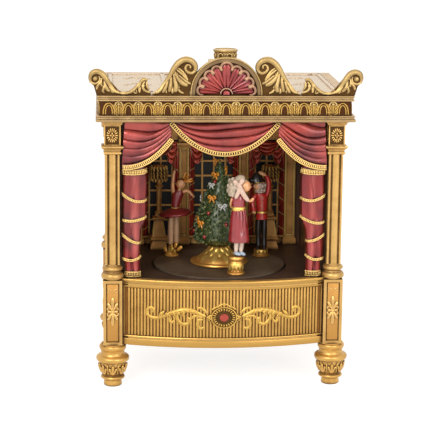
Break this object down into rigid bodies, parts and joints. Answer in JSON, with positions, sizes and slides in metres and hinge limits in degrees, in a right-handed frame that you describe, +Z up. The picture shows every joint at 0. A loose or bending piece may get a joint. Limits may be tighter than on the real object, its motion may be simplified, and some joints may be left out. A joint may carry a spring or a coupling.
{
  "type": "musical toy theatre",
  "caption": "Gilt toy theatre on turned feet: dolls on a turntable circle a tree behind crimson drapes, driven by a wind-up comb movement with a key under the base.",
  "frame": {"origin": "on the table top, under the middle of the cornice's width and depth", "axes": "+X to the right seen from the front, -Y towards the viewer, +Z up"},
  "size_m": [0.1986, 0.145, 0.2522],
  "materials": {
    "antique_gold": "cast resin, bright gold paint with brown antiquing in the hollows",
    "pale_gold": "cast resin, paler beige gold paint with brown antiquing",
    "crimson_paint": "cast resin, metallic crimson lacquer with gold edges",
    "red_jewel": "clear red faceted acrylic",
    "stage_black": "satin charcoal paint",
    "dark_panes": "near-black gloss paint",
    "roof_cream": "cream paint washed with gold",
    "fibre_board": "plain board",
    "tree_green": "cast resin, green with frosted tips",
    "doll_paint": "cast resin, hand-painted in crimson, flesh, black and gold",
    "zinc_casting": "die-cast zinc",
    "steel": "plated steel",
    "spring_steel": "hardened steel",
    "brass": "turned brass"
  },
  "bodies": {
    "theatre": {"foot_front_left": "antique_gold", "foot_front_right": "antique_gold", "foot_rear_left": "antique_gold", "foot_rear_right": "antique_gold", "post_front_left": "pale_gold", "post_front_right": "pale_gold", "post_rear_left": "pale_gold", "post_rear_right": "pale_gold", "base_housing": "antique_gold", "bottom_board": "fibre_board", "board_screws": "steel", "movement_screws": "steel", "apron_scrollwork": "antique_gold", "apron_medallion": "antique_gold", "apron_jewel": "red_jewel", "stage_floor": "stage_black", "back_wall": "pale_gold", "side_wall_left": "pale_gold", "side_wall_right": "pale_gold", "side_relief_left": "antique_gold", "side_relief_right": "antique_gold", "window_frames": "pale_gold", "window_panes": "dark_panes", "window_drapes": "crimson_paint", "torchere_left": "antique_gold", "torchere_right": "antique_gold", "centre_swag": "crimson_paint", "swag_left": "crimson_paint", "swag_right": "crimson_paint", "curtain_left": "crimson_paint", "curtain_right": "crimson_paint", "cornice": "pale_gold", "roof_panel": "roof_cream", "pediment_arch": "pale_gold", "shell_fan": "crimson_paint", "crest_left": "pale_gold", "crest_right": "pale_gold", "crown_plinth": "pale_gold", "crown_finial": "pale_gold", "movement_frame": "zinc_casting", "spring_drum": "steel", "mainspring": "spring_steel", "comb": "spring_steel", "comb_screws": "steel", "spindle_bush": "brass"},
    "turntable": {"spindle": "steel", "crown_wheel": "brass", "turntable": "stage_black", "tree_stand": "antique_gold", "tree": "tree_green", "ballerina": "doll_paint", "party_doll": "doll_paint", "toy_soldier": "doll_paint"},
    "winding": {"winding_key": "brass", "winding_arbor": "steel"},
    "cylinder": {"music_cylinder": "brass", "cylinder_arbor": "brass"},
    "idler": {"idler": "brass"},
    "governor": {"governor": "steel"},
    "stop": {"stop_rod": "steel"}
  },
  "joints": [
    {"name": "turntable_spin", "type": "hinge", "parent": "theatre", "child": "turntable", "pos_m": [0, -0.0091, 0.0815], "axis": [0, 0, 1], "continuous": true},
    {"name": "key_wind", "type": "hinge", "parent": "theatre", "child": "winding", "pos_m": [0, -0.0091, 0.03], "axis": [0, 0, 1], "continuous": true},
    {"name": "cylinder_spin", "type": "hinge", "parent": "theatre", "child": "cylinder", "pos_m": [0.02, -0.0091, 0.0662], "axis": [1, 0, 0], "continuous": true},
    {"name": "idler_spin", "type": "hinge", "parent": "theatre", "child": "idler", "pos_m": [0.03, -0.00044, 0.0612], "axis": [1, 0, 0], "continuous": true},
    {"name": "governor_spin", "type": "hinge", "parent": "theatre", "child": "governor", "pos_m": [0.0452, 0.00656, 0.06], "axis": [0, 0, 1], "continuous": true},
    {"name": "stop_push", "type": "slide", "parent": "theatre", "child": "stop", "axis": [0, -1, 0], "range_m": [0, 0.003]}
  ],
  "couplings": [
    {"joint": "cylinder_spin", "follows": "turntable_spin", "ratio": 2},
    {"joint": "idler_spin", "follows": "turntable_spin", "ratio": -6},
    {"joint": "governor_spin", "follows": "turntable_spin", "ratio": 60}
  ]
}
